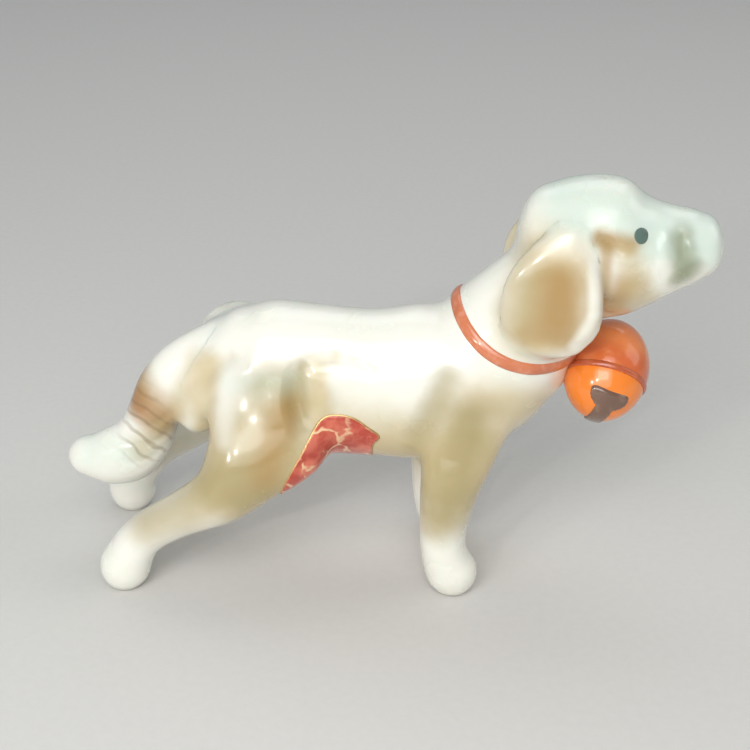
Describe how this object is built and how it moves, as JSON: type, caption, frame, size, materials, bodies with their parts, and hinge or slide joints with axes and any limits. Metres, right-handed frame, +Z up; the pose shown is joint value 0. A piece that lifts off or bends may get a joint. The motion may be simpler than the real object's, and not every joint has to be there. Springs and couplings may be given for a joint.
{
  "type": "ceramic dog figurine",
  "caption": "Glazed porcelain figurine of a lop-eared dog standing in a stretched stride, with a painted collar and a round bell under its throat.",
  "frame": {"origin": "on the ground plane, midway along the figurine and midway across it", "axes": "+X the way the dog faces, +Y its left side, +Z up; the four paw soles stand on z = 0"},
  "size_m": [0.0788, 0.0248, 0.0523],
  "materials": {
    "porcelain_glaze": "gloss glaze over warm white porcelain, olive and beige airbrushing",
    "head_glaze": "gloss glaze, mint tint on the brow, brown cheeks",
    "ear_glaze": "gloss glaze, tan airbrushing inside a white rim",
    "tail_glaze": "gloss glaze, orange brown band and a white tip",
    "collar_enamel": "gloss red enamel",
    "bell_enamel": "gloss orange enamel",
    "bell_band_enamel": "gloss dark red enamel",
    "slot_enamel": "gloss brown grey enamel",
    "eye_enamel": "gloss dark green grey enamel",
    "patch_enamel": "gloss red enamel with gold flecks",
    "gilt": "fired gold paint"
  },
  "bodies": {
    "root": {"trunk": "porcelain_glaze", "head": "head_glaze", "right_ear": "ear_glaze", "left_ear": "ear_glaze", "front_right_leg": "porcelain_glaze", "front_left_leg": "porcelain_glaze", "hind_right_leg": "porcelain_glaze", "hind_left_leg": "porcelain_glaze", "tail": "tail_glaze", "collar": "collar_enamel", "bell": "bell_enamel", "bell_belt": "bell_band_enamel", "bell_slot": "slot_enamel", "right_eye": "eye_enamel", "left_eye": "eye_enamel", "belly_patch": "patch_enamel", "patch_line": "gilt"}
  },
  "joints": []
}
